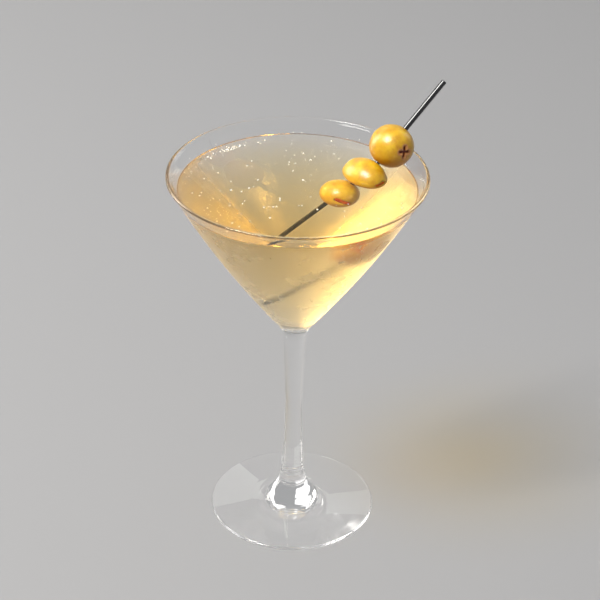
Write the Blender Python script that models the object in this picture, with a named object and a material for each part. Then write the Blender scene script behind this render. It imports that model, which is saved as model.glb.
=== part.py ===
# A dry cocktail in its stemmed glass, with three stuffed olives on a black pick.
# Lengths are in metres and +Z is up. The origin is the centre of the foot's underside.

from math import cos, pi, radians, sin, tau

import bmesh
import bpy
from mathutils import Matrix, Vector

# Gap between touching pieces, and the drink's gap to the wall measured level
GAP = 0.0003
WALL_GAP = 0.0004

# Bowl of the glass: the outer wall comes in from the rim in a slightly bulging taper
GLASS_HEIGHT = 0.179
RIM_RADIUS = 0.058
BOWL_SPAN = 0.0916
BOWL_TAPER = 0.06175
BOWL_BULGE = 0.00344
RIM_WALL = 0.0015
LOW_WALL = 0.0024
BEAD_RADIUS = 0.00085
BEAD_JOIN = 0.0018
BOWL_JOINT = 0.1008
WELL_TURN = 0.1070
WELL_BOTTOM = 0.1018
WELL_ROUNDNESS = 1.35
WELL_RINGS = 5
BOWL_RINGS = 9
GLASS_SEGMENTS = 60

# Stem and foot: radius at each height, from the bowl's joint down to the toe of the foot
STEM_AND_FOOT = (
    (0.0982, 0.00585),
    (0.0950, 0.00540),
    (0.0900, 0.00497),
    (0.0800, 0.00460),
    (0.0600, 0.00385),
    (0.0400, 0.00440),
    (0.0290, 0.00500),
    (0.0235, 0.00525),
    (0.0200, 0.00550),
    (0.0165, 0.00620),
    (0.0132, 0.00700),
    (0.0110, 0.00860),
    (0.0082, 0.01060),
    (0.0054, 0.01290),
    (0.0037, 0.01640),
    (0.0032, 0.02050),
)
STEM_STEPS = 2
FOOT_RADIUS = 0.039
FOOT_EDGE = 0.0017
EDGE_STEPS = 5

# Drink
DRINK_LEVEL = 0.1723
DRINK_RINGS = 7

# Pick: a straight rod through the olives, its point on the inside of the bowl
PICK_RADIUS = 0.00125
PICK_LENGTH = 0.1275
PICK_POINT = 0.0070
PICK_POINT_RADIUS = 0.0003
PICK_SHOULDER = (0.55, 0.75)
PICK_CHAMFER = 0.0002
PICK_AZIMUTH = radians(31.0)
PICK_TILT = radians(43.8)
PICK_SEGMENTS = 14
PICK_ROOM_EXTRA = 0.01

# A point on the pick in the upper olive, which leans on the inside of the bowl under the rim
PICK_THROUGH = Vector((0.0417, 0.0219, 0.1829))

# Olives: how far down the pick, how far off it endways and downwards, size,
# where the front end faces, how its mark is turned, and the end and length of the slit
OLIVES = {
    "upper": {
        "down": 0.0,
        "shift": 0.0,
        "drop": 0.0005,
        "length": 0.0204,
        "width": 0.0195,
        "azimuth": radians(-57.0),
        "tilt": radians(7.0),
        "roll": radians(-11.0),
        "pimento_end": -1.0,
        "slit": 0.0060,
        "phase": 0.4,
    },
    "middle": {
        "down": 0.0188,
        "shift": -0.0002,
        "drop": 0.0001,
        "length": 0.0241,
        "width": 0.0171,
        "azimuth": radians(-55.0),
        "tilt": radians(3.0),
        "roll": radians(24.0),
        "pimento_end": 1.0,
        "slit": 0.0054,
        "phase": 2.1,
    },
    "lower": {
        "down": 0.0371,
        "shift": 0.0001,
        "drop": 0.0001,
        "length": 0.0206,
        "width": 0.0184,
        "azimuth": radians(-83.0),
        "tilt": radians(10.0),
        "roll": radians(-38.0),
        "pimento_end": 1.0,
        "slit": 0.0084,
        "phase": 4.3,
    },
}
OLIVE_SEGMENTS = 26
OLIVE_RINGS = 15
OLIVE_BLUNTNESS = 0.84
OLIVE_TAPER = 0.035
OLIVE_UNEVEN = 0.012
OLIVE_UNEVEN_THIRD = 0.6
OLIVE_TWIST = 2.3
SLIT_WIDTH = 0.0027
SLIT_DEPTH = 0.0034
SLIT_END_STEPS = 4
CROSS_LENGTH = 0.0050
CROSS_WIDTH = 0.0007
CROSS_DEPTH = 0.0012
PIMENTO_SUNK = 0.0008
PIMENTO_CROWN = 0.0004
PIMENTO_CROWN_SIZE = (0.7, 0.6)


def remove_everything():
    for obj in list(bpy.data.objects):
        bpy.data.objects.remove(obj)


def material(name, colour, roughness, metallic=0.0):
    made = bpy.data.materials.new(name)
    made.use_nodes = True
    shader = made.node_tree.nodes["Principled BSDF"]
    shader.inputs["Base Color"].default_value = (*colour, 1.0)
    shader.inputs["Roughness"].default_value = roughness
    shader.inputs["Metallic"].default_value = metallic
    return made


def add_object(name, mesh_data, finish=None):
    mesh = bpy.data.meshes.new(name)
    bmesh.ops.recalc_face_normals(mesh_data, faces=mesh_data.faces)
    mesh_data.to_mesh(mesh)
    mesh_data.free()
    mesh.shade_smooth()
    mesh.set_sharp_from_angle(angle=radians(40.0))
    obj = bpy.data.objects.new(name, mesh)
    bpy.context.scene.collection.objects.link(obj)
    if finish is not None:
        mesh.materials.append(finish)
    return obj


def cut(obj, cutter):
    cutter.hide_render = True
    cutter.display_type = "WIRE"
    boolean = obj.modifiers.new("cut by " + cutter.name, "BOOLEAN")
    boolean.operation = "DIFFERENCE"
    boolean.solver = "EXACT"
    boolean.object = cutter


# Faces between each ring of points and the next, where a ring of one point is a pole
def skin(mesh_data, rings, segments):
    for above, below in zip(rings, rings[1:]):
        for i in range(segments):
            j = (i + 1) % segments
            left = [above[i % len(above)], below[i % len(below)]]
            right = [below[j % len(below)], above[j % len(above)]]
            mesh_data.faces.new(list(dict.fromkeys(left + right)))


# Turns an outline of (radius, height) points, pole to pole, round the Z axis
def lathe(outline, segments):
    turned = bmesh.new()
    angles = [tau * i / segments for i in range(segments)]
    rings = []
    for radius, height in outline:
        around = angles if radius > 0.0 else [0.0]
        rings.append([turned.verts.new((radius * cos(a), radius * sin(a), height)) for a in around])
    skin(turned, rings, segments)
    return turned


# A smooth curve through the given points, with the given steps between each two
def through(points, steps):
    ends = [Vector(point) for point in (points[0], *points, points[-1])]
    curve = []
    for before, start, end, after in zip(ends, ends[1:], ends[2:], ends[3:]):
        for i in range(steps):
            t = i / steps
            speed = end - before
            bend = 2 * before - 5 * start + 4 * end - after
            twist = 3 * start - before - 3 * end + after
            curve.append(tuple(start + (speed * t + bend * t**2 + twist * t**3) / 2))
    return curve + [points[-1]]


def arc(centre, radius, start, end, steps):
    turns = [start + (end - start) * i / steps for i in range(steps + 1)]
    return [(centre[0] + radius * cos(a), centre[1] + radius * sin(a)) for a in turns]


def spread(start, end, count):
    return [start + (end - start) * i / (count - 1) for i in range(count)]


def bowl_radius(height):
    s = (GLASS_HEIGHT - height) / BOWL_SPAN
    return RIM_RADIUS - BOWL_TAPER * s + 4.0 * BOWL_BULGE * s * (1.0 - s)


def well_radius(height):
    s = (GLASS_HEIGHT - height) / BOWL_SPAN
    return bowl_radius(height) - RIM_WALL - (LOW_WALL - RIM_WALL) * s


# Inside of the bowl up to a height: a rounded bottom, then the wall, set in by the gap
def well_outline(top, rings, gap):
    turn_radius = well_radius(WELL_TURN)
    rise = WELL_TURN - WELL_BOTTOM
    bottom = []
    for angle in spread(0.0, pi / 2, WELL_RINGS)[:-1]:
        height = WELL_TURN - rise * cos(angle) ** WELL_ROUNDNESS + gap * cos(angle)
        bottom.append(((turn_radius - gap) * sin(angle), height))
    wall = [(well_radius(z) - gap, z) for z in spread(WELL_TURN, top, rings)]
    return bottom + wall


def make_glass(finish):
    bead = (RIM_RADIUS - BEAD_RADIUS, GLASS_HEIGHT - BEAD_RADIUS)
    join = GLASS_HEIGHT - BEAD_JOIN
    inside = well_outline(join, BOWL_RINGS + 1, 0.0)
    lip = arc(bead, BEAD_RADIUS, pi, 0.0, EDGE_STEPS + 1)
    outside = [(bowl_radius(z), z) for z in spread(join, BOWL_JOINT, BOWL_RINGS)]
    stem_points = [outside[-1], *((radius, z) for z, radius in STEM_AND_FOOT)]
    edge_radius = FOOT_EDGE / 2
    edge_centre = (FOOT_RADIUS - edge_radius, edge_radius)
    edge = arc(edge_centre, edge_radius, pi / 2, -pi / 2, EDGE_STEPS)
    outline = inside + lip + outside[:-1] + through(stem_points, STEM_STEPS) + edge + [(0.0, 0.0)]
    return add_object("glass", lathe(outline, GLASS_SEGMENTS), finish)


def pick_direction():
    flat = cos(PICK_TILT)
    return Vector((flat * cos(PICK_AZIMUTH), flat * sin(PICK_AZIMUTH), sin(PICK_TILT)))


# Distance down the pick from the upper olive to where its point stops short of the wall
def pick_reach():
    direction = pick_direction()
    near, far = 0.050, 0.110
    for _ in range(40):
        middle = (near + far) / 2
        point = PICK_THROUGH - direction * middle
        room = well_radius(point.z) - GAP - PICK_POINT_RADIUS - point.xy.length
        near, far = (middle, far) if room > 0.0 else (near, middle)
    return near


# The pick's shape, grown by a margin where it is used to make room for itself
def pick_rod(margin, extra):
    radius = PICK_RADIUS + margin
    top = PICK_LENGTH + extra
    outline = [
        (0.0, -margin),
        (PICK_POINT_RADIUS + margin, -margin),
        (radius * PICK_SHOULDER[1], PICK_POINT * PICK_SHOULDER[0]),
        (radius, PICK_POINT),
        (radius, top - PICK_CHAMFER),
        (radius - PICK_CHAMFER, top),
        (0.0, top),
    ]
    rod = lathe(outline, PICK_SEGMENTS)
    direction = pick_direction()
    tip = PICK_THROUGH - direction * pick_reach()
    turn = direction.to_track_quat("Z", "Y").to_matrix().to_4x4()
    bmesh.ops.transform(rod, matrix=Matrix.Translation(tip) @ turn, verts=rod.verts)
    return rod


# Axes of an olive: its marked end, the way its mark runs, and the third across both
def olive_axes(olive):
    flat = cos(olive["tilt"])
    end = Vector((flat * cos(olive["azimuth"]), flat * sin(olive["azimuth"]), sin(olive["tilt"])))
    level = Vector((0.0, 0.0, 1.0)).cross(end).normalized()
    mark = Matrix.Rotation(olive["roll"], 3, end) @ level
    return end, mark, end.cross(mark)


def olive_place(olive):
    end, mark, across = olive_axes(olive)
    centre = PICK_THROUGH - pick_direction() * olive["down"] + end * olive["shift"]
    centre.z -= olive["drop"]
    turn = Matrix((mark, across, end)).transposed().to_4x4()
    return Matrix.Translation(centre) @ turn


# An olive's surface is blunt at both ends, narrower at one, and a little uneven
def olive_body(olive, margin):
    body = bmesh.new()
    half_length = olive["length"] / 2 + margin
    half_width = olive["width"] / 2 + margin
    rings = []
    for slope in spread(0.0, pi, OLIVE_RINGS + 1):
        along = cos(slope)
        if abs(along) == 1.0:
            rings.append([body.verts.new((0.0, 0.0, half_length * along))])
            continue
        ring = []
        for j in range(OLIVE_SEGMENTS):
            turn = tau * j / OLIVE_SEGMENTS
            second = sin(2 * turn + olive["phase"])
            third = sin(3 * turn + OLIVE_TWIST * along - olive["phase"])
            uneven = OLIVE_UNEVEN * (second + OLIVE_UNEVEN_THIRD * third)
            swell = 1.0 - OLIVE_TAPER * along + uneven * sin(slope)
            radius = half_width * sin(slope) ** OLIVE_BLUNTNESS * swell
            ring.append(body.verts.new((radius * cos(turn), radius * sin(turn), half_length * along)))
        rings.append(ring)
    skin(body, rings, OLIVE_SEGMENTS)
    bmesh.ops.transform(body, matrix=olive_place(olive), verts=body.verts)
    return body


# A plug with round ends, standing on an olive's end between two heights above its centre
def slit_plug(olive, length, width, low, high, crown):
    plug = bmesh.new()
    reach = (length - width) / 2
    near_end = arc((reach, 0.0), width / 2, -pi / 2, pi / 2, SLIT_END_STEPS)
    far_end = arc((-reach, 0.0), width / 2, pi / 2, 1.5 * pi, SLIT_END_STEPS)
    outline = near_end + far_end
    sign = olive["pimento_end"]
    lower = [plug.verts.new((x, y, sign * low)) for x, y in outline]
    upper = [plug.verts.new((x, y, sign * high)) for x, y in outline]
    narrow, thin = PIMENTO_CROWN_SIZE
    inner = [plug.verts.new((x * narrow, y * thin, sign * (high + crown))) for x, y in outline]
    count = len(outline)
    for first, second in ((lower, upper), (upper, inner)):
        for i in range(count):
            j = (i + 1) % count
            plug.faces.new((first[i], first[j], second[j], second[i]))
    plug.faces.new(lower[::-1])
    plug.faces.new(inner)
    bmesh.ops.transform(plug, matrix=olive_place(olive), verts=plug.verts)
    return plug


# One arm of the cross that is cut into the upper olive's front end
def cross_arm(olive, turn):
    arm = bmesh.new()
    bmesh.ops.create_cube(arm, size=1.0)
    depth = 2 * CROSS_DEPTH
    size = Matrix.Diagonal((CROSS_LENGTH, CROSS_WIDTH, depth, 1.0))
    lift = Matrix.Translation((0.0, 0.0, olive["length"] / 2))
    place = olive_place(olive) @ Matrix.Rotation(turn, 4, "Z") @ lift @ size
    bmesh.ops.transform(arm, matrix=place, verts=arm.verts)
    return arm


def make_olive(name, olive, pick_room, finish):
    obj = add_object("olive_" + name, olive_body(olive, 0.0), finish)
    cut(obj, pick_room)
    half = olive["length"] / 2
    pocket = slit_plug(olive, olive["slit"], SLIT_WIDTH, half - SLIT_DEPTH, half + SLIT_DEPTH, 0.0)
    cut(obj, add_object(name + "_pocket_cutter", pocket))
    if olive["pimento_end"] < 0.0:
        for number, turn in enumerate((0.0, pi / 2)):
            cut(obj, add_object(f"{name}_cross_cutter_{number}", cross_arm(olive, turn)))
    return obj


def make_pimento(name, olive, finish):
    half = olive["length"] / 2
    low = half - SLIT_DEPTH + GAP
    high = half - PIMENTO_SUNK - PIMENTO_CROWN
    plug = slit_plug(olive, olive["slit"] - 2 * GAP, SLIT_WIDTH - 2 * GAP, low, high, PIMENTO_CROWN)
    return add_object("pimento_" + name, plug, finish)


def make_drink(pick_room, finish):
    outline = well_outline(DRINK_LEVEL, DRINK_RINGS, WALL_GAP) + [(0.0, DRINK_LEVEL)]
    drink = add_object("drink", lathe(outline, GLASS_SEGMENTS), finish)
    cut(drink, pick_room)
    for name in ("middle", "lower"):
        cut(drink, add_object(name + "_olive_room_cutter", olive_body(OLIVES[name], GAP)))
    return drink


def main():
    remove_everything()
    clear_glass = material("clear glass", (0.93, 0.95, 0.95), 0.02)
    pale_drink = material("pale drink", (0.80, 0.70, 0.42), 0.03)
    black_plastic = material("black plastic", (0.012, 0.012, 0.013), 0.18)
    green_olive = material("olive skin", (0.66, 0.50, 0.10), 0.28)
    red_pimento = material("pimento", (0.70, 0.20, 0.04), 0.35)

    make_glass(clear_glass)
    pick_room = add_object("pick_room_cutter", pick_rod(GAP, PICK_ROOM_EXTRA))
    add_object("pick", pick_rod(0.0, 0.0), black_plastic)
    make_drink(pick_room, pale_drink)
    for name, olive in OLIVES.items():
        make_olive(name, olive, pick_room, green_olive)
        make_pimento(name, olive, red_pimento)


main()
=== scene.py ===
from math import cos, exp, pi, radians, sin, sqrt, tau

import bmesh
import bpy
from mathutils import Matrix, Vector, noise


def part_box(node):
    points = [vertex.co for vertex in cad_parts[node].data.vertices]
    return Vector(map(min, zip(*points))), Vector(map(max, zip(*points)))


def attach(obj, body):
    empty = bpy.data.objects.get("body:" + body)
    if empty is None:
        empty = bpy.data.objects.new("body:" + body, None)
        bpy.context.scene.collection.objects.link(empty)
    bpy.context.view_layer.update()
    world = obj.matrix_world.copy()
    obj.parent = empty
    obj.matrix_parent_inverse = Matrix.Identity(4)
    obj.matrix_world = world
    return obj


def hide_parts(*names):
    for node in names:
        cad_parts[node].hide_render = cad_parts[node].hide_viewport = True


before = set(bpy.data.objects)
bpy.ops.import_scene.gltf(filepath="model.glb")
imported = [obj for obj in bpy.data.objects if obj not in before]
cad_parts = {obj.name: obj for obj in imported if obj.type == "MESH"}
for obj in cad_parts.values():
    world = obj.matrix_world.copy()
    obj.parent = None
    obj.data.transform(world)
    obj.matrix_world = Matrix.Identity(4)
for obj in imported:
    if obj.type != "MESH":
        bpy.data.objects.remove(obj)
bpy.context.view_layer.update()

print("frame loaded:", len(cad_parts), "nodes")

# Lengths are in metres and angles in degrees, in every dictionary below


# Small helpers for node trees

def addNode(tree, kind, **values):
    made = tree.nodes.new(kind)
    for key, value in values.items():
        setattr(made, key, value)
    return made


def setSockets(madeNode, values):
    for name, value in values.items():
        madeNode.inputs[name].default_value = value
    return madeNode


def newFinish(name, values):
    finish = bpy.data.materials.new(name)
    finish.use_nodes = True
    shader = finish.node_tree.nodes["Principled BSDF"]
    return finish, finish.node_tree, setSockets(shader, values)


def objectNoise(tree, scale, detail=3.0, stretch=(1.0, 1.0, 1.0), roughness=0.55):
    coords = addNode(tree, "ShaderNodeTexCoord")
    mapping = addNode(tree, "ShaderNodeMapping")
    mapping.inputs["Scale"].default_value = stretch
    texture = addNode(tree, "ShaderNodeTexNoise")
    setSockets(texture, {"Scale": scale, "Detail": detail, "Roughness": roughness})
    tree.links.new(coords.outputs["Object"], mapping.inputs["Vector"])
    tree.links.new(mapping.outputs["Vector"], texture.inputs["Vector"])
    return texture


def mapRange(tree, source, low, high, fromLow=0.0, fromHigh=1.0):
    ranged = addNode(tree, "ShaderNodeMapRange")
    setSockets(ranged, {"From Min": fromLow, "From Max": fromHigh, "To Min": low, "To Max": high})
    tree.links.new(source, ranged.inputs["Value"])
    return ranged.outputs["Result"]


def addBump(tree, shader, height, strength, distance):
    bump = addNode(tree, "ShaderNodeBump")
    setSockets(bump, {"Strength": strength, "Distance": distance})
    tree.links.new(height, bump.inputs["Height"])
    tree.links.new(bump.outputs["Normal"], shader.inputs["Normal"])


def colourRamp(tree, source, stops):
    ramp = addNode(tree, "ShaderNodeValToRGB")
    elements = ramp.color_ramp.elements
    while len(elements) < len(stops):
        elements.new(0.5)
    for element, (place, colour) in zip(elements, stops):
        element.position = place
        element.color = (*colour, 1.0)
    tree.links.new(source, ramp.inputs["Fac"])
    return ramp.outputs["Color"]


# Light from lamps and matt surfaces passes straight through, so clear things throw no dark shadow
def letLightThrough(tree, shader):
    path = addNode(tree, "ShaderNodeLightPath")
    clear = addNode(tree, "ShaderNodeBsdfTransparent")
    surface = shader.outputs["BSDF"]
    for ray in ("Is Shadow Ray", "Is Diffuse Ray"):
        mix = addNode(tree, "ShaderNodeMixShader")
        tree.links.new(path.outputs[ray], mix.inputs["Fac"])
        tree.links.new(surface, mix.inputs[1])
        tree.links.new(clear.outputs["BSDF"], mix.inputs[2])
        surface = mix.outputs["Shader"]
    tree.links.new(surface, tree.nodes["Material Output"].inputs["Surface"])


# The camera stands where the photograph was taken from
view = dict(
    aim=(0.002025, 0.0, 0.114267),
    distance=0.85069,
    pitch=31.262,
    roll=1.155,
    lens=111.98,
    sensor=36.0,
    clip=0.05,
)


def placeCamera():
    pitch, roll = radians(view["pitch"]), radians(view["roll"])
    ahead = Vector((0.0, cos(pitch), -sin(pitch)))
    level = Vector((1.0, 0.0, 0.0))
    upright = level.cross(ahead)
    right = level * cos(roll) + upright * sin(roll)
    up = upright * cos(roll) - level * sin(roll)
    data = bpy.data.cameras.new("camera")
    data.lens = view["lens"]
    data.sensor_width = view["sensor"]
    data.clip_start = view["clip"]
    camera = bpy.data.objects.new("camera", data)
    turn = Matrix((right, up, -ahead)).transposed().to_4x4()
    place = Vector(view["aim"]) - ahead * view["distance"]
    camera.matrix_world = Matrix.Translation(place) @ turn
    bpy.context.scene.collection.objects.link(camera)
    bpy.context.scene.camera = camera


placeCamera()
print("camera placed")


# Shapes

def spread(start, end, count):
    return [start + (end - start) * i / (count - 1) for i in range(count)]


def arc(centre, radius, start, end, steps):
    across, up = centre
    return [(across + radius * cos(a), up + radius * sin(a)) for a in spread(start, end, steps + 1)]


def smoothStep(low, high, value):
    t = min(max((value - low) / (high - low), 0.0), 1.0)
    return t * t * (3 - 2 * t)


# A smooth curve through the points, with the given steps between each two
def smoothThrough(points, steps):
    ends = [Vector(point) for point in (points[0], *points, points[-1])]
    curve = []
    for before, start, end, after in zip(ends, ends[1:], ends[2:], ends[3:]):
        for i in range(steps):
            t = i / steps
            bend = 2 * before - 5 * start + 4 * end - after
            twist = 3 * start - before - 3 * end + after
            curve.append(tuple(start + ((end - before) * t + bend * t * t + twist * t**3) / 2))
    return curve + [tuple(points[-1])]


# Closes the skin between rings of vertices; a ring of one vertex is a pole
def closeRings(body, rings, around):
    for above, below in zip(rings, rings[1:]):
        for i in range(around):
            j = (i + 1) % around
            left = [above[i % len(above)], below[i % len(below)]]
            right = [below[j % len(below)], above[j % len(above)]]
            body.faces.new(list(dict.fromkeys(left + right)))
    bmesh.ops.recalc_face_normals(body, faces=body.faces)


def takeMesh(body, name):
    mesh = bpy.data.meshes.new(name)
    body.to_mesh(mesh)
    body.free()
    return mesh


def addPiece(name, mesh, finish=None):
    for polygon in mesh.polygons:
        polygon.use_smooth = True
    if finish is not None:
        mesh.materials.clear()
        mesh.materials.append(finish)
    piece = bpy.data.objects.new(name, mesh)
    bpy.context.scene.collection.objects.link(piece)
    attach(piece, "root")
    return piece


# Turns an outline round the Z axis with Geometry Nodes
turning = dict(segments=224, guide=0.5, weld=1e-6)


def turningTree():
    tree = bpy.data.node_groups.new("turned outline", "GeometryNodeTree")
    face = tree.interface
    face.new_socket("Geometry", in_out="INPUT", socket_type="NodeSocketGeometry")
    segments = face.new_socket("Segments", in_out="INPUT", socket_type="NodeSocketInt")
    guide = face.new_socket("Guide Radius", in_out="INPUT", socket_type="NodeSocketFloat")
    finish = face.new_socket("Finish", in_out="INPUT", socket_type="NodeSocketMaterial")
    face.new_socket("Geometry", in_out="OUTPUT", socket_type="NodeSocketGeometry")
    given = addNode(tree, "NodeGroupInput")
    result = addNode(tree, "NodeGroupOutput")
    outline = addNode(tree, "GeometryNodeMeshToCurve")
    circle = addNode(tree, "GeometryNodeCurvePrimitiveCircle")
    swept = addNode(tree, "GeometryNodeCurveToMesh")
    merged = addNode(tree, "GeometryNodeMergeByDistance")
    merged.inputs["Distance"].default_value = turning["weld"]
    real = addNode(tree, "GeometryNodeRealizeInstances")
    painted = addNode(tree, "GeometryNodeSetMaterial")
    for source, target in (
        (given.outputs["Geometry"], outline.inputs["Mesh"]),
        (given.outputs["Segments"], circle.inputs["Resolution"]),
        (given.outputs["Guide Radius"], circle.inputs["Radius"]),
        (circle.outputs["Curve"], swept.inputs["Curve"]),
        (outline.outputs["Curve"], swept.inputs["Profile Curve"]),
        (swept.outputs["Mesh"], merged.inputs["Geometry"]),
        (merged.outputs["Geometry"], real.inputs["Geometry"]),
        (real.outputs["Geometry"], painted.inputs["Geometry"]),
        (given.outputs["Finish"], painted.inputs["Material"]),
        (painted.outputs["Geometry"], result.inputs["Geometry"]),
    ):
        tree.links.new(source, target)
    sockets = dict(segments=segments, guide=guide, finish=finish)
    return tree, {key: socket.identifier for key, socket in sockets.items()}


turnTree, turnSockets = turningTree()


def runNodes(obj, tree, sockets, values):
    modifier = obj.modifiers.new(tree.name, "NODES")
    modifier.node_group = tree
    for key, value in values.items():
        modifier[sockets[key]] = value
    bpy.context.view_layer.update()
    ready = obj.evaluated_get(bpy.context.evaluated_depsgraph_get())
    mesh = bpy.data.meshes.new_from_object(ready)
    obj.modifiers.remove(modifier)
    bpy.data.objects.remove(obj)
    return mesh


def turnedMesh(name, outline, finish, segments=None):
    data = bpy.data.meshes.new(name + " outline")
    guide = turning["guide"]
    points = [(radius - guide, -height, 0.0) for radius, height in outline]
    data.from_pydata(points, [(i, i + 1) for i in range(len(points) - 1)], [])
    rough = bpy.data.objects.new(name + " outline", data)
    bpy.context.scene.collection.objects.link(rough)
    values = dict(segments=segments or turning["segments"], guide=guide, finish=finish)
    mesh = runNodes(rough, turnTree, turnSockets, values)
    facing = bmesh.new()
    facing.from_mesh(mesh)
    bmesh.ops.recalc_face_normals(facing, faces=facing.faces)
    facing.to_mesh(mesh)
    facing.free()
    return mesh


# The glass: one piece of clear glass, bowl, stem and foot
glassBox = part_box("glass")
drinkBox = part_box("drink")
glass = dict(
    height=glassBox[1][2],
    rimRadius=glassBox[1][0],
    bowlSpan=0.0916,
    bowlTaper=0.06175,
    bowlBulge=0.00344,
    rimWall=0.0015,
    lowWall=0.0024,
    beadRadius=0.00085,
    beadJoin=0.0018,
    bowlJoint=0.1008,
    wellTurn=0.1070,
    wellBottom=0.1018,
    wellRoundness=1.35,
    footRadius=0.039,
    footEdge=0.0017,
    # heights and radii down the stem and out over the foot
    stem=(
        (0.0982, 0.00585), (0.0950, 0.00540), (0.0900, 0.00497), (0.0800, 0.00460),
        (0.0600, 0.00385), (0.0400, 0.00440), (0.0290, 0.00500), (0.0235, 0.00525),
        (0.0200, 0.00550), (0.0165, 0.00620), (0.0132, 0.00700), (0.0110, 0.00860),
        (0.0082, 0.01060), (0.0054, 0.01290), (0.0037, 0.01640), (0.0032, 0.02050),
    ),
    grooves=(0.0187, 0.0163, 0.0138),
    grooveDepth=0.00022,
    grooveWidth=0.00055,
    bottomRings=17,
    sideRings=48,
    lipSteps=14,
    stemSteps=12,
    edgeSteps=12,
    # its surface
    tint=(1.0, 1.0, 1.0),
    bend=1.5,  # refractive index
    smear=0.012,
    smearScale=60.0,
    ripple=0.01,
    rippleScale=40.0,
    # the mist on its outside
    mistRoughness=0.46,
    mistPatchScale=90.0,
    mistTop=0.1735,
    mistTopFade=0.004,
    mistLow=0.001,  # above the joint with the stem
    mistLowFade=0.008,
    mistShare=0.78,
    mistFrontToBack=0.22,
    lipMist=0.3,
    lipMistFade=0.0003,
)


# The bowl's side: nearly a cone, a little bulged
def bowlRadius(height):
    s = (glass["height"] - height) / glass["bowlSpan"]
    return glass["rimRadius"] - glass["bowlTaper"] * s + 4 * glass["bowlBulge"] * s * (1 - s)


def wellRadius(height):
    s = (glass["height"] - height) / glass["bowlSpan"]
    return bowlRadius(height) - glass["rimWall"] - (glass["lowWall"] - glass["rimWall"]) * s


# The inside of the bowl up to a height, grown into the wall where that is asked for
def wellOutline(top, rings, grow=0.0):
    turnRadius = wellRadius(glass["wellTurn"]) + grow
    rise = glass["wellTurn"] - glass["wellBottom"]
    outline = []
    for angle in spread(0.0, pi / 2, glass["bottomRings"])[:-1]:
        height = glass["wellTurn"] - rise * cos(angle) ** glass["wellRoundness"] - grow * cos(angle)
        outline.append((turnRadius * sin(angle), height))
    return outline + [(wellRadius(z) + grow, z) for z in spread(glass["wellTurn"], top, rings)]


# Shallow rings pressed into the foot of the stem
def grooved(radius, height):
    cuts = [exp(-(((height - place) / glass["grooveWidth"]) ** 2)) for place in glass["grooves"]]
    return radius - glass["grooveDepth"] * sum(cuts)


def glassOutline():
    bead = (glass["rimRadius"] - glass["beadRadius"], glass["height"] - glass["beadRadius"])
    join = glass["height"] - glass["beadJoin"]
    inside = wellOutline(join, glass["sideRings"])
    lip = arc(bead, glass["beadRadius"], pi, 0.0, glass["lipSteps"])
    outside = [(bowlRadius(z), z) for z in spread(join, glass["bowlJoint"], glass["sideRings"])]
    stem = [outside[-1], *((radius, z) for z, radius in glass["stem"])]
    stem = [(grooved(radius, z), z) for radius, z in smoothThrough(stem, glass["stemSteps"])]
    edgeRadius = glass["footEdge"] / 2
    edgeCentre = (glass["footRadius"] - edgeRadius, edgeRadius)
    edge = arc(edgeCentre, edgeRadius, pi / 2, -pi / 2, glass["edgeSteps"])
    return inside + lip + outside[:-1] + stem + edge + [(0.0, 0.0)]


def clearGlass():
    finish, tree, shader = newFinish("clear glass", {
        "Base Color": (*glass["tint"], 1.0),
        "Transmission Weight": 1.0,
        "IOR": glass["bend"],
    })
    smear = objectNoise(tree, glass["smearScale"], detail=4.0)
    dry = mapRange(tree, smear.outputs["Fac"], 0.0, glass["smear"], 0.45, 0.75)
    mist = addNode(tree, "ShaderNodeAttribute", attribute_name="mist")
    patches = objectNoise(tree, glass["mistPatchScale"], detail=3.0)
    thin, thick = glass["mistRoughness"] * 0.85, glass["mistRoughness"] * 1.1
    wet = mapRange(tree, patches.outputs["Fac"], thin, thick, 0.3, 0.7)
    rough = addNode(tree, "ShaderNodeMix", data_type="FLOAT")
    tree.links.new(mist.outputs["Fac"], rough.inputs["Factor"])
    tree.links.new(dry, rough.inputs[2])
    tree.links.new(wet, rough.inputs[3])
    tree.links.new(rough.outputs[0], shader.inputs["Roughness"])
    ripple = objectNoise(tree, glass["rippleScale"], detail=1.0, stretch=(1.0, 1.0, 0.35))
    addBump(tree, shader, ripple.outputs["Fac"], glass["ripple"], 0.001)
    letLightThrough(tree, shader)
    return finish


# The cold drink mists the outside of the bowl up to its level, and the lip is a little hazy
def mistAt(point):
    radius, height = point.xy.length, point.z
    lip = glass["height"] - glass["beadRadius"]
    if height > lip:
        return glass["lipMist"] * smoothStep(lip, lip + glass["lipMistFade"], height)
    joint = glass["bowlJoint"]
    outside = radius - (bowlRadius(height) - glass["rimWall"] / 2)
    if outside < 0.0 or height < joint:
        return 0.0
    # thinner on the front than on the back
    share = glass["mistShare"] + glass["mistFrontToBack"] * point.y / radius
    share *= 1 - smoothStep(glass["mistTop"] - glass["mistTopFade"], glass["mistTop"], height)
    return share * smoothStep(joint + glass["mistLow"], joint + glass["mistLowFade"], height)


def addMist(mesh):
    mist = mesh.attributes.new("mist", "FLOAT", "POINT")
    mist.data.foreach_set("value", [mistAt(vertex.co) for vertex in mesh.vertices])


glassMesh = turnedMesh("glass", glassOutline(), clearGlass())
addMist(glassMesh)
glassPiece = addPiece("stemmed_glass", glassMesh)
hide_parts("glass")
print("glass turned:", len(glassMesh.polygons), "faces")


# The pick and the places of the olives on it
pick = dict(
    through=(0.0417, 0.0219, 0.1829),
    azimuth=31.0,
    tilt=43.8,
    radius=0.00125,
    length=0.1275,
    point=0.0070,
    pointRadius=0.0003,
    pointEnd=((0.0, 0.0), (0.7, 0.00008), (1.0, 0.0003)),  # shares of the point's radius, heights
    bevel=0.00025,
    gap=0.0003,
    reach=(0.050, 0.110),  # the tip lies between these distances down the pick
    halvings=40,
    segments=40,
    pointRings=10,
    shaftRings=12,
    bevelSteps=6,
    # its surface
    black=(0.010, 0.010, 0.011, 1.0),
    bend=1.5,
    wearScale=900.0,
)


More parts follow.
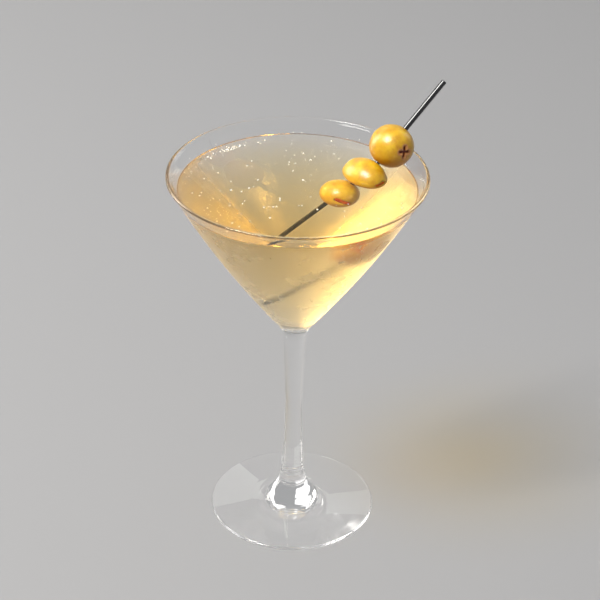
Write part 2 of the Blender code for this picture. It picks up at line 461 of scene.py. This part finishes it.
def pickDirection():
    azimuth, tilt = radians(pick["azimuth"]), radians(pick["tilt"])
    return Vector((cos(tilt) * cos(azimuth), cos(tilt) * sin(azimuth), sin(tilt)))


# Where the point comes to the inside of the bowl, found by halving
def pickTip():
    direction = pickDirection()
    near, far = pick["reach"]
    for _ in range(pick["halvings"]):
        middle = (near + far) / 2
        point = Vector(pick["through"]) - direction * middle
        room = wellRadius(point.z) - pick["gap"] - pick["pointRadius"] - point.xy.length
        near, far = (middle, far) if room > 0.0 else (near, middle)
    return Vector(pick["through"]) - direction * near


def blackGloss():
    finish, tree, shader = newFinish("black gloss", {
        "Base Color": pick["black"],
        "IOR": pick["bend"],
        "Coat Weight": 0.6,
        "Coat Roughness": 0.05,
    })
    wear = objectNoise(tree, pick["wearScale"], detail=4.0)
    tree.links.new(mapRange(tree, wear.outputs["Fac"], 0.14, 0.30), shader.inputs["Roughness"])
    return finish


def pickOutline():
    radius, top, point, bevel = (pick[key] for key in ("radius", "length", "point", "bevel"))
    pointRadius = pick["pointRadius"]
    outline = [(pointRadius * share, height) for share, height in pick["pointEnd"]]
    for t in spread(0.12, 1.0, pick["pointRings"]):
        outline.append((pointRadius + (radius - pointRadius) * sin(t * pi / 2), point * t))
    shaft = top - bevel - point
    outline += [(radius, point + shaft * t) for t in spread(0.1, 1.0, pick["shaftRings"])]
    outline += arc((radius - bevel, top - bevel), bevel, 0.0, pi / 2, pick["bevelSteps"])[1:]
    return outline + [(0.0, top)]


pickMesh = turnedMesh("pick", pickOutline(), blackGloss(), segments=pick["segments"])
pickTurn = pickDirection().to_track_quat("Z", "Y").to_matrix().to_4x4()
pickMesh.transform(Matrix.Translation(pickTip()) @ pickTurn)
pickPiece = addPiece("black_pick", pickMesh)
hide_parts("pick")
print("pick made:", len(pickMesh.polygons), "faces")


# Olives: unevenly turned bodies, each with its slit and pimento, and the cross cut in the upper one
olives = dict(
    upper=dict(
        down=0.0, shift=0.0, drop=0.0005, length=0.0204, width=0.0195,
        azimuth=-57.0, tilt=7.0, roll=-11.0, pimentoEnd=-1.0, slit=0.0060, phase=0.4,
    ),
    middle=dict(
        down=0.0188, shift=-0.0002, drop=0.0001, length=0.0241, width=0.0171,
        azimuth=-55.0, tilt=3.0, roll=24.0, pimentoEnd=1.0, slit=0.0054, phase=2.1,
    ),
    lower=dict(
        down=0.0371, shift=0.0001, drop=0.0001, length=0.0206, width=0.0184,
        azimuth=-83.0, tilt=10.0, roll=-38.0, pimentoEnd=1.0, slit=0.0084, phase=4.3,
    ),
)
# what the three have in common
oliveCommon = dict(
    bluntness=0.84, taper=0.035, uneven=0.012, third=0.6, twist=2.3,
    around=192, along=150, crowding=0.72,
    dimple=0.00008, dimpleScale=240.0, pores=0.00004, poreScale=1500.0,
    endZone=0.5,  # the cuts lie beyond this share of the half length
    slitWidth=0.0027, slitDepth=0.0014, slitFloor=0.75, slitEdge=0.0001,
    lipWidth=0.0009, roll=0.00025,
    crossLength=0.0052, crossWidth=0.0011, crossDepth=0.0010, crossFloor=0.6, crossEdge=0.00015,
    crossRoll=1.6, petalStart=0.0006, petalEnd=0.0016,
    # the skin
    gold=(0.63, 0.360, 0.004), pale=(0.74, 0.49, 0.020), deep=(0.50, 0.240, 0.003),
    # the next two lines set painted shade: a darker colour laid on faces that look down, and how far
    # down they must look
    paintedShade=(0.47, 0.185, 0.001), cut=(0.19, 0.030, 0.004), flesh=(0.52, 0.22, 0.065),
    paintedShadeRange=(-0.5, 0.9),  # how far a face looks down where the darker underside starts and ends
    cloudScale=170.0, fineScale=2600.0, bend=1.45, bump=0.14,
)


def olivePlace(olive):
    azimuth, tilt = radians(olive["azimuth"]), radians(olive["tilt"])
    end = Vector((cos(tilt) * cos(azimuth), cos(tilt) * sin(azimuth), sin(tilt)))
    level = Vector((0.0, 0.0, 1.0)).cross(end).normalized()
    mark = Matrix.Rotation(radians(olive["roll"]), 3, end) @ level
    centre = Vector(pick["through"]) - pickDirection() * olive["down"] + end * olive["shift"]
    centre.z -= olive["drop"]
    turn = Matrix((mark, end.cross(mark), end)).transposed().to_4x4()
    return Matrix.Translation(centre) @ turn


# Distance from a straight cut of the given length that runs along x
def cutDistance(x, y, length):
    return sqrt(max(abs(x) - length / 2, 0.0) ** 2 + y * y)


# A point of the skin, how deep it lies in a cut and how far its flesh is laid open
def oliveSurface(olive, slope, turn):
    shape = oliveCommon
    along = cos(slope)
    second = sin(2 * turn + olive["phase"])
    third = sin(3 * turn + shape["twist"] * along - olive["phase"])
    uneven = shape["uneven"] * (second + shape["third"] * third)
    swell = 1.0 - shape["taper"] * along + uneven * sin(slope)
    radius = 0.0
    if 0.0 < slope < pi:
        radius = olive["width"] / 2 * sin(slope) ** shape["bluntness"] * swell
    point = Vector((radius * cos(turn), radius * sin(turn), olive["length"] / 2 * along))
    # soft dimples and fine pores
    seed = Vector((olive["phase"] * 3.1, olive["phase"] * 1.7, olive["phase"]))
    dimples = noise.noise(point * shape["dimpleScale"] + seed) * shape["dimple"]
    pores = noise.noise(point * shape["poreScale"] + seed) * shape["pores"]
    point += point.normalized() * (dimples + pores - shape["dimple"] - shape["pores"])
    cut = flesh = 0.0
    front = 1 if along > 0.0 else -1
    if front == olive["pimentoEnd"] and abs(along) > shape["endZone"]:
        away = cutDistance(point.x, point.y, olive["slit"] - shape["slitWidth"])
        half = shape["slitWidth"] / 2
        cut = 1 - smoothStep(half * shape["slitFloor"], half + shape["slitEdge"], away)
        point.z -= front * shape["slitDepth"] * cut
        # the skin rolls in towards the slit
        point.z -= front * shape["roll"] * (1 - smoothStep(half, half + shape["lipWidth"], away))
    if front == 1 and olive["pimentoEnd"] < 0.0 and along > shape["endZone"]:
        arm = shape["crossLength"] - shape["crossWidth"]
        away = min(cutDistance(point.x, point.y, arm), cutDistance(point.y, point.x, arm))
        half = shape["crossWidth"] / 2
        cut = 1 - smoothStep(half * shape["crossFloor"], half + shape["crossEdge"], away)
        # between the arms the flesh is laid open in small petals
        flesh = 1 - smoothStep(half + shape["petalStart"], half + shape["petalEnd"], away)
        point.z -= shape["crossDepth"] * cut
        fall = shape["roll"] * shape["crossRoll"]
        point.z -= fall * (1 - smoothStep(half, half + shape["lipWidth"], away))
    return point, cut, flesh


# Rings crowd towards both ends, where the cuts are
def oliveSlopes():
    shares = spread(0.0, 1.0, oliveCommon["along"])
    return [pi * (t - oliveCommon["crowding"] * sin(tau * t) / tau) for t in shares]


def oliveMesh(name, olive):
    body = bmesh.new()
    cutLayer = body.verts.layers.float.new("cut")
    fleshLayer = body.verts.layers.float.new("flesh")
    paintedShadeLayer = body.verts.layers.float.new("paintedShade")
    around = oliveCommon["around"]
    rings = []
    for slope in oliveSlopes():
        turns = [tau * j / around for j in range(around)]
        if slope < 1e-6 or slope > pi - 1e-6:
            turns = [0.0]
        ring = []
        for turn in turns:
            point, cut, flesh = oliveSurface(olive, slope, turn)
            vertex = body.verts.new(point)
            vertex[cutLayer] = cut
            vertex[fleshLayer] = flesh
            ring.append(vertex)
        rings.append(ring)
    closeRings(body, rings, around)
    bmesh.ops.transform(body, matrix=olivePlace(olive), verts=body.verts)
    body.normal_update()
    # painted shade: the further a face looks down, the more of the darker colour it gets
    for vertex in body.verts:
        vertex[paintedShadeLayer] = smoothStep(*oliveCommon["paintedShadeRange"], -vertex.normal.z)
    return takeMesh(body, "olive " + name)


def oliveSkin():
    look = oliveCommon
    finish, tree, shader = newFinish("olive skin", {
        "IOR": look["bend"],
        "Coat Weight": 0.7,
        "Coat Roughness": 0.28,
        "Subsurface Weight": 0.12,
        "Subsurface Radius": (0.004, 0.0018, 0.0004),
        "Subsurface Scale": 1.0,
    })
    clouds = objectNoise(tree, look["cloudScale"], detail=5.0, roughness=0.6)
    stops = ((0.32, look["deep"]), (0.50, look["gold"]), (0.70, look["pale"]))
    colour = colourRamp(tree, clouds.outputs["Fac"], stops)
    # the first mix lays painted shade on faces that look down, the others paint the opened flesh and
    # the cuts
    for layer, low, high in (("paintedShade", 0.0, 0.75), ("flesh", 0.05, 0.9), ("cut", 0.2, 0.85)):
        mark = addNode(tree, "ShaderNodeAttribute", attribute_name=layer)
        paint = addNode(tree, "ShaderNodeMix", data_type="RGBA")
        share = mapRange(tree, mark.outputs["Fac"], 0.0, 1.0, low, high)
        tree.links.new(share, paint.inputs["Factor"])
        tree.links.new(colour, paint.inputs[6])
        paint.inputs[7].default_value = (*look[layer], 1.0)
        colour = paint.outputs[2]
    tree.links.new(colour, shader.inputs["Base Color"])
    fine = objectNoise(tree, look["fineScale"], detail=2.0)
    tree.links.new(mapRange(tree, fine.outputs["Fac"], 0.34, 0.50), shader.inputs["Roughness"])
    addBump(tree, shader, fine.outputs["Fac"], look["bump"], 0.0002)
    return finish


pimento = dict(
    endGap=0.0002, sideLap=0.0001, squareness=3.0, lengthSteps=48, around=20,
    depth=0.0014, rise=0.0010, endDepth=0.0016,
    crease=0.00018, creaseWidth=0.35,
    longFold=0.00015, longWaves=9, shortFold=0.0001, shortWaves=23, sway=0.3,
    # the flesh
    dark=(0.38, 0.035, 0.002), bright=(0.75, 0.16, 0.004), mottleScale=900.0, bend=1.33, bump=0.15,
)


def pimentoFlesh():
    finish, tree, shader = newFinish("pimento flesh", {
        "IOR": pimento["bend"],
        "Subsurface Weight": 0.3,
        "Subsurface Radius": (0.003, 0.0008, 0.0004),
        "Subsurface Scale": 1.0,
    })
    mottle = objectNoise(tree, pimento["mottleScale"], detail=3.0)
    colour = colourRamp(tree, mottle.outputs["Fac"], ((0.3, pimento["dark"]), (0.7, pimento["bright"])))
    tree.links.new(colour, shader.inputs["Base Color"])
    tree.links.new(mapRange(tree, mottle.outputs["Fac"], 0.40, 0.60), shader.inputs["Roughness"])
    addBump(tree, shader, mottle.outputs["Fac"], pimento["bump"], 0.0003)
    return finish


# A folded strip: a long rounded ridge with a crease, sunk into the slit
def pimentoRow(olive, u):
    shape = pimento
    halfWidth = oliveCommon["slitWidth"] / 2 + shape["sideLap"]
    across = halfWidth * sqrt(max(1 - abs(u) ** shape["squareness"], 0.0))
    x = (olive["slit"] / 2 - shape["endGap"]) * u
    base = olive["length"] / 2
    if abs(u) == 1.0:
        return [(x, 0.0, olive["pimentoEnd"] * (base - shape["endDepth"]))]
    fold = shape["longFold"] * sin(shape["longWaves"] * u + olive["phase"])
    fold += shape["shortFold"] * sin(shape["shortWaves"] * u)
    row = []
    for j in range(shape["around"]):
        a = tau * j / shape["around"]
        crease = 0.0
        if sin(a) > 0:
            crease = shape["crease"] * (1 - smoothStep(0.0, shape["creaseWidth"], abs(cos(a))))
        z = base - shape["depth"] + shape["rise"] * sin(a) - crease + fold * max(sin(a), 0.0)
        row.append((x, across * cos(a) + fold * shape["sway"], olive["pimentoEnd"] * z))
    return row


def pimentoMesh(name, olive):
    steps = pimento["lengthSteps"]
    strip = bmesh.new()
    rows = []
    for i in range(steps + 1):
        row = pimentoRow(olive, -cos(pi * i / steps))
        rows.append([strip.verts.new(point) for point in row])
    closeRings(strip, rows, pimento["around"])
    bmesh.ops.transform(strip, matrix=olivePlace(olive), verts=strip.verts)
    return takeMesh(strip, "pimento " + name)


skinFinish, pimentoFinish = oliveSkin(), pimentoFlesh()
for name, olive in olives.items():
    olivePiece = addPiece("stuffed_olive_" + name, oliveMesh(name, olive), skinFinish)
    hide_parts("olive_" + name)
    pimentoPiece = addPiece("pimento_strip_" + name, pimentoMesh(name, olive), pimentoFinish)
    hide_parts("pimento_" + name)
print("olives and pimentos made")


# The drink fills the bowl and reaches just into the wall
drink = dict(
    level=drinkBox[1][2],
    intoWall=0.0007,
    topIntoWall=0.00012,
    drawBack=0.004,
    climb=0.00012,
    climbWidth=0.0008,
    sideRings=90,
    topRings=60,
    # the liquid
    bend=1.345,
    kept=(0.985, 0.80, 0.27),  # the light that it lets through
    density=23.0,
    rippleScale=55.0,
    ripple=0.015,
)


def drinkOutline():
    level = drink["level"]
    # near the top the side draws back towards the wall's face
    spare = drink["intoWall"] - drink["topIntoWall"]
    side = []
    for radius, height in wellOutline(level + drink["climb"], drink["sideRings"], drink["intoWall"]):
        side.append((radius - spare * smoothStep(level - drink["drawBack"], level, height), height))
    reach = wellRadius(level)
    top = []
    for t in spread(0.0, 1.0, drink["topRings"])[1:]:
        radius = reach * (1 - t * t) if t < 1 else 0.0
        climb = drink["climb"] * exp(-(reach - radius) / drink["climbWidth"])
        top.append((radius, level + climb))
    return side + top


def paleDrink():
    finish, tree, shader = newFinish("pale drink", {
        "Base Color": (1.0, 1.0, 1.0, 1.0),
        "Transmission Weight": 1.0,
        "Roughness": 0.0,
        "IOR": drink["bend"],
    })
    ripple = objectNoise(tree, drink["rippleScale"], detail=2.0)
    addBump(tree, shader, ripple.outputs["Fac"], drink["ripple"], 0.001)
    absorb = addNode(tree, "ShaderNodeVolumeAbsorption")
    absorb.inputs["Color"].default_value = (*drink["kept"], 1.0)
    absorb.inputs["Density"].default_value = drink["density"]
    tree.links.new(absorb.outputs["Volume"], tree.nodes["Material Output"].inputs["Volume"])
    letLightThrough(tree, shader)
    return finish


drinkMesh = turnedMesh("drink", drinkOutline(), paleDrink())
drinkPiece = addPiece("drink_in_bowl", drinkMesh)
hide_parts("drink")
print("drink poured")


# Fine water beads on the misted wall, and small bubbles on the drink
beads = dict(
    mist=dict(
        sown=dict(
            perSquare=150000.0, smallest=0.00010, largest=0.00032, flat=0.6, patch=70.0, seed=3,
        ),
        bed=dict(low=0.004, over=0.0008, rings=40, steps=129),
    ),
    foam=dict(
        sown=dict(
            perSquare=1200000.0, smallest=0.00020, largest=0.00052, flat=0.9, patch=160.0, seed=11,
        ),
        bed=dict(radii=(0.0502, 0.0479, 0.0478, 0.0462), over=0.00005, sector=(118, 147), steps=12),
    ),
    specks=dict(
        sown=dict(
            perSquare=60000.0, smallest=0.00018, largest=0.00052, flat=0.9, patch=110.0, seed=24,
        ),
        bed=dict(radii=spread(0.050, 0.002, 8), over=0.00004, sector=(48, 345), steps=65),
    ),
)
beadCommon = dict(bend=1.33, patchEdges=(0.50, 0.66), sparse=0.04)


def scatterTree():
    tree = bpy.data.node_groups.new("scattered beads", "GeometryNodeTree")
    face = tree.interface
    face.new_socket("Geometry", in_out="INPUT", socket_type="NodeSocketGeometry")
    sockets = {}
    for key, label, kind in (
        ("perSquare", "Beads per Square Metre", "NodeSocketFloat"),
        ("smallest", "Smallest Radius", "NodeSocketFloat"),
        ("largest", "Largest Radius", "NodeSocketFloat"),
        ("flat", "Height Share", "NodeSocketFloat"),
        ("patch", "Patches per Metre", "NodeSocketFloat"),
        ("seed", "Seed", "NodeSocketInt"),
        ("finish", "Finish", "NodeSocketMaterial"),
    ):
        sockets[key] = face.new_socket(label, in_out="INPUT", socket_type=kind).identifier
    face.new_socket("Geometry", in_out="OUTPUT", socket_type="NodeSocketGeometry")
    given = addNode(tree, "NodeGroupInput")
    result = addNode(tree, "NodeGroupOutput")
    patches = addNode(tree, "ShaderNodeTexNoise")
    patches.inputs["Detail"].default_value = 1.0
    crowd = addNode(tree, "ShaderNodeMapRange")
    low, high = beadCommon["patchEdges"]
    setSockets(crowd, {"From Min": low, "From Max": high})
    setSockets(crowd, {"To Min": beadCommon["sparse"], "To Max": 1.0})
    dense = addNode(tree, "ShaderNodeMath", operation="MULTIPLY")
    points = addNode(tree, "GeometryNodeDistributePointsOnFaces")
    bead = addNode(tree, "GeometryNodeMeshIcoSphere")
    setSockets(bead, {"Radius": 1.0, "Subdivisions": 1})
    size = addNode(tree, "FunctionNodeRandomValue", data_type="FLOAT")
    height = addNode(tree, "ShaderNodeMath", operation="MULTIPLY")
    scale = addNode(tree, "ShaderNodeCombineXYZ")
    placed = addNode(tree, "GeometryNodeInstanceOnPoints")
    real = addNode(tree, "GeometryNodeRealizeInstances")
    painted = addNode(tree, "GeometryNodeSetMaterial")
    for source, target in (
        (given.outputs["Geometry"], points.inputs["Mesh"]),
        (given.outputs["Patches per Metre"], patches.inputs["Scale"]),
        (patches.outputs["Fac"], crowd.inputs["Value"]),
        (crowd.outputs["Result"], dense.inputs[0]),
        (given.outputs["Beads per Square Metre"], dense.inputs[1]),
        (dense.outputs["Value"], points.inputs["Density"]),
        (given.outputs["Seed"], points.inputs["Seed"]),
        (given.outputs["Smallest Radius"], size.inputs[2]),
        (given.outputs["Largest Radius"], size.inputs[3]),
        (given.outputs["Seed"], size.inputs["Seed"]),
        (size.outputs[1], scale.inputs["X"]),
        (size.outputs[1], scale.inputs["Y"]),
        (size.outputs[1], height.inputs[0]),
        (given.outputs["Height Share"], height.inputs[1]),
        (height.outputs[0], scale.inputs["Z"]),
        (points.outputs["Points"], placed.inputs["Points"]),
        (points.outputs["Rotation"], placed.inputs["Rotation"]),
        (bead.outputs["Mesh"], placed.inputs["Instance"]),
        (scale.outputs["Vector"], placed.inputs["Scale"]),
        (placed.outputs["Instances"], real.inputs["Geometry"]),
        (real.outputs["Geometry"], painted.inputs["Geometry"]),
        (given.outputs["Finish"], painted.inputs["Material"]),
        (painted.outputs["Geometry"], result.inputs["Geometry"]),
    ):
        tree.links.new(source, target)
    return tree, sockets


beadTree, beadSockets = scatterTree()


# Quads between rows of points, for the beads to lie on
def bedMesh(name, rows):
    across = len(rows[0])
    faces = []
    for i in range(len(rows) - 1):
        for j in range(across - 1):
            first, second = i * across + j, (i + 1) * across + j
            faces.append((first, first + 1, second + 1, second))
    data = bpy.data.meshes.new(name)
    data.from_pydata([point for row in rows for point in row], [], faces)
    return data


def turnedRows(outline, start, end, steps):
    return [[(r * cos(a), r * sin(a), z) for a in spread(start, end, steps)] for r, z in outline]


def scatter(name, rows, finish):
    bed = bpy.data.objects.new(name + " bed", bedMesh(name + " bed", rows))
    bpy.context.scene.collection.objects.link(bed)
    mesh = runNodes(bed, beadTree, beadSockets, dict(beads[name]["sown"], finish=finish))
    addPiece(name + "_beads", mesh)
    print(name, "beads:", len(mesh.polygons), "faces")


def waterBead():
    finish, tree, shader = newFinish("water bead", {
        "Base Color": (1.0, 0.97, 0.90, 1.0),
        "Transmission Weight": 0.15,
        "Roughness": 0.2,
        "IOR": beadCommon["bend"],
    })
    letLightThrough(tree, shader)
    return finish


def bubbleSkin():
    finish, tree, shader = newFinish("bubble skin", {
        "Transmission Weight": 0.25,
        "Roughness": 0.15,
        "IOR": beadCommon["bend"],
        "Coat Weight": 0.5,
    })
    film = objectNoise(tree, 900.0, detail=1.0)
    stops = ((0.3, (0.92, 0.86, 0.70)), (0.7, (1.0, 0.98, 0.92)))
    tree.links.new(colourRamp(tree, film.outputs["Fac"], stops), shader.inputs["Base Color"])
    letLightThrough(tree, shader)
    return finish


def wallBed(bed):
    low, high = glass["bowlJoint"] + bed["low"], drink["level"] + bed["over"]
    outline = [(bowlRadius(z), z) for z in spread(low, high, bed["rings"])]
    return turnedRows(outline, 0.0, tau, bed["steps"])


def surfaceBed(bed):
    outline = [(radius, drink["level"] + bed["over"]) for radius in bed["radii"]]
    start, end = (radians(angle) for angle in bed["sector"])
    return turnedRows(outline, start, end, bed["steps"])


scatter("mist", wallBed(beads["mist"]["bed"]), waterBead())
bubbleFinish = bubbleSkin()
scatter("foam", surfaceBed(beads["foam"]["bed"]), bubbleFinish)
scatter("specks", surfaceBed(beads["specks"]["bed"]), bubbleFinish)


# Pale floor and soft studio light
stage = dict(
    floor=(0.28, 0.28, 0.285),
    floorHalf=6.0,
    floorHeight=-0.0002,
    air=(0.98, 0.99, 1.0),
    low=0.38,
    high=0.50,
    highFrom=0.60,
    highTo=0.95,
    lampAim=(0.0, 0.0, 0.11),
    bounces=64,
)
lamps = dict(
    key=dict(place=(-1.00, -0.44, 1.85), size=(0.80, 0.80), power=58.0, colour=(1.0, 0.98, 0.95)),
    backLeft=dict(place=(-1.04, 2.24, 1.49), size=(1.60, 0.84), power=4.4, colour=(1.0, 0.99, 0.97)),
    backRight=dict(place=(1.96, 1.84, 1.49), size=(0.70, 1.80), power=6.5, colour=(1.0, 0.98, 0.96)),
    sideLeft=dict(place=(-2.20, 1.10, 0.79), size=(0.80, 2.00), power=38.0, colour=(1.0, 0.97, 0.92)),
)


def studioAir():
    world = bpy.data.worlds.new("studio air")
    world.use_nodes = True
    tree = world.node_tree
    coords = addNode(tree, "ShaderNodeTexCoord")
    split = addNode(tree, "ShaderNodeSeparateXYZ")
    tree.links.new(coords.outputs["Generated"], split.inputs["Vector"])
    levels = (stage[key] for key in ("low", "high", "highFrom", "highTo"))
    strength = mapRange(tree, split.outputs["Z"], *levels)
    background = tree.nodes["Background"]
    tree.links.new(strength, background.inputs["Strength"])
    background.inputs["Color"].default_value = (*stage["air"], 1.0)
    bpy.context.scene.world = world


def layFloor():
    data = bpy.data.meshes.new("floor")
    half, height = stage["floorHalf"], stage["floorHeight"]
    corners = [(x * half, y * half, height) for x, y in ((-1, -1), (1, -1), (1, 1), (-1, 1))]
    data.from_pydata(corners, [], [(0, 1, 2, 3)])
    floor = bpy.data.objects.new("floor", data)
    bpy.context.scene.collection.objects.link(floor)
    paper = newFinish("floor paper", {"Roughness": 0.8, "Base Color": (*stage["floor"], 1.0)})[0]
    data.materials.append(paper)


def hangLamps():
    for name, lamp in lamps.items():
        light = bpy.data.lights.new(name + " softbox", "AREA")
        light.shape = "RECTANGLE"
        light.size, light.size_y = lamp["size"]
        light.energy = lamp["power"]
        light.color = lamp["colour"]
        holder = bpy.data.objects.new(name + " softbox", light)
        holder.location = lamp["place"]
        toward = Vector(stage["lampAim"]) - Vector(lamp["place"])
        holder.rotation_euler = toward.to_track_quat("-Z", "Y").to_euler()
        bpy.context.scene.collection.objects.link(holder)


studioAir()
layFloor()
hangLamps()
scene = bpy.context.scene
scene.view_settings.view_transform = "Standard"
scene.cycles.use_denoising = True
# light runs a long way inside the wall before it leaves the rim
scene.cycles.max_bounces = stage["bounces"]
scene.cycles.transmission_bounces = stage["bounces"]
scene.cycles.glossy_bounces = stage["bounces"]
print("stage and lights set")
